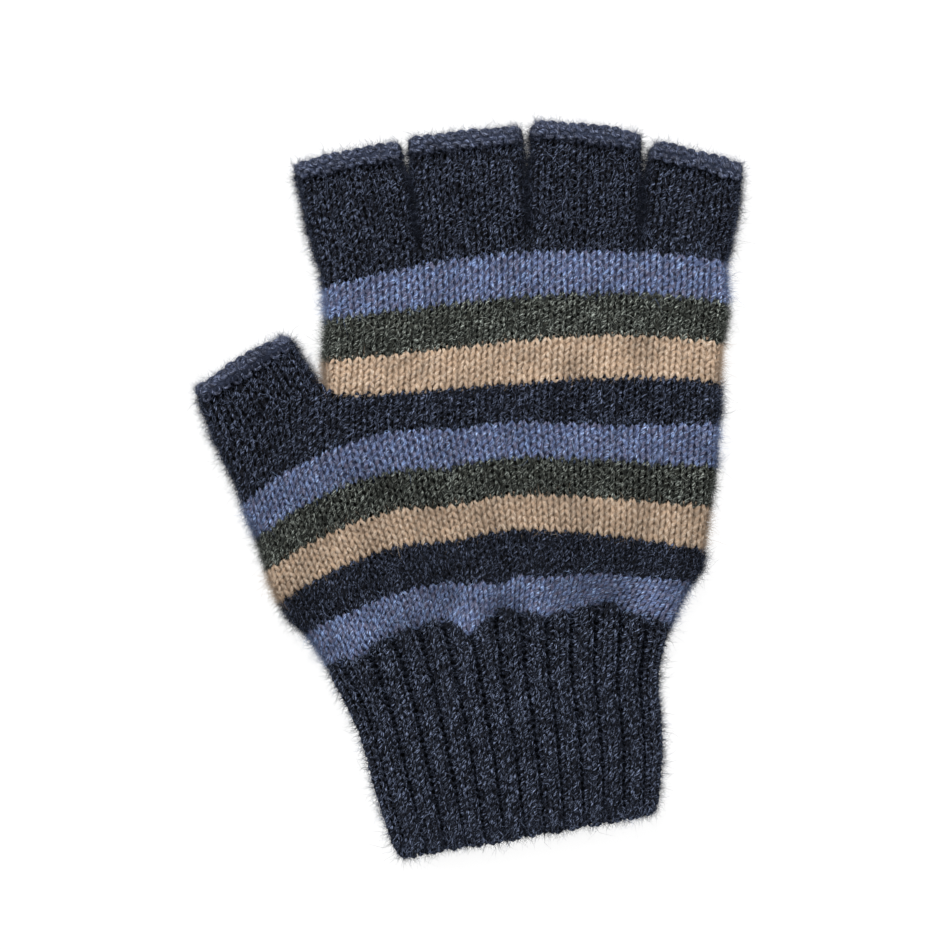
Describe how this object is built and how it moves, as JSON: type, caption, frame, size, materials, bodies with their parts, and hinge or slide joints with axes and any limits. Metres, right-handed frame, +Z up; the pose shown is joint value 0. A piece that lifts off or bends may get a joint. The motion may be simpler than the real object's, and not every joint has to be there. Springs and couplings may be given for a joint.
{
  "type": "fingerless glove",
  "caption": "Striped wool-knit fingerless glove with five open rolled-edge finger stubs and a ribbed cuff, lying flat.",
  "frame": {"origin": "under the middle of the glove's bounding box, on the surface it lies on", "axes": "+Y points to the fingers, +X points to the little finger, +Z points up away from the surface and is the side that the fingers curl towards"},
  "size_m": [0.1383, 0.1867, 0.0108],
  "materials": {
    "navy_yarn": "soft brushed wool knit",
    "blue_yarn": "soft brushed wool knit, heathered",
    "charcoal_yarn": "soft brushed wool knit, heathered",
    "beige_yarn": "soft brushed wool knit, heathered",
    "cuff_yarn": "soft brushed wool rib knit",
    "rim_yarn": "soft brushed wool knit, curled edge"
  },
  "bodies": {
    "hand": {"upper_hand_navy": "navy_yarn", "blue_band_1": "blue_yarn", "charcoal_band_1": "charcoal_yarn", "beige_band_1": "beige_yarn", "navy_band_2": "navy_yarn", "blue_band_2": "blue_yarn", "charcoal_band_2": "charcoal_yarn", "beige_band_2": "beige_yarn", "navy_band_3": "navy_yarn", "blue_band_3": "blue_yarn", "wrist_ribbing": "cuff_yarn", "index_base": "navy_yarn", "middle_base": "navy_yarn", "ring_base": "navy_yarn", "little_base": "navy_yarn", "thumb_base": "navy_yarn"},
    "index_finger": {"index_tube": "navy_yarn", "index_rim": "rim_yarn"},
    "middle_finger": {"middle_tube": "navy_yarn", "middle_rim": "rim_yarn"},
    "ring_finger": {"ring_tube": "navy_yarn", "ring_rim": "rim_yarn"},
    "little_finger": {"little_tube": "navy_yarn", "little_rim": "rim_yarn"},
    "thumb": {"thumb_tube": "navy_yarn", "thumb_rim": "rim_yarn"},
    "cuff": {"rib_cuff": "cuff_yarn", "cuff_edge": "cuff_yarn"}
  },
  "joints": [
    {"name": "index_flex", "type": "hinge", "parent": "hand", "child": "index_finger", "pos_m": [-0.02738, 0.06511, 0.005], "axis": [1, 0, 0], "range_deg": [0, 85], "deforming": ["index_base"]},
    {"name": "middle_flex", "type": "hinge", "parent": "hand", "child": "middle_finger", "pos_m": [0.00023, 0.07009, 0.005], "axis": [1, 0, 0], "range_deg": [0, 85], "deforming": ["middle_base"]},
    {"name": "ring_flex", "type": "hinge", "parent": "hand", "child": "ring_finger", "pos_m": [0.02878, 0.0714, 0.005], "axis": [1, 0, 0], "range_deg": [0, 85], "deforming": ["ring_base"]},
    {"name": "little_flex", "type": "hinge", "parent": "hand", "child": "little_finger", "pos_m": [0.05544, 0.06762, 0.005], "axis": [1, 0, 0], "range_deg": [0, 85], "deforming": ["little_base"]},
    {"name": "thumb_fold", "type": "hinge", "parent": "hand", "child": "thumb", "pos_m": [-0.05288, 0.02235, 0.005], "axis": [0.8746, 0.4848, 0], "range_deg": [0, 60], "deforming": ["thumb_base"]},
    {"name": "wrist_bend", "type": "hinge", "parent": "hand", "child": "cuff", "pos_m": [0.00813, -0.04725, 0.005], "axis": [-0.9921, -0.1251, 0], "range_deg": [-60, 75], "deforming": ["wrist_ribbing"]}
  ]
}
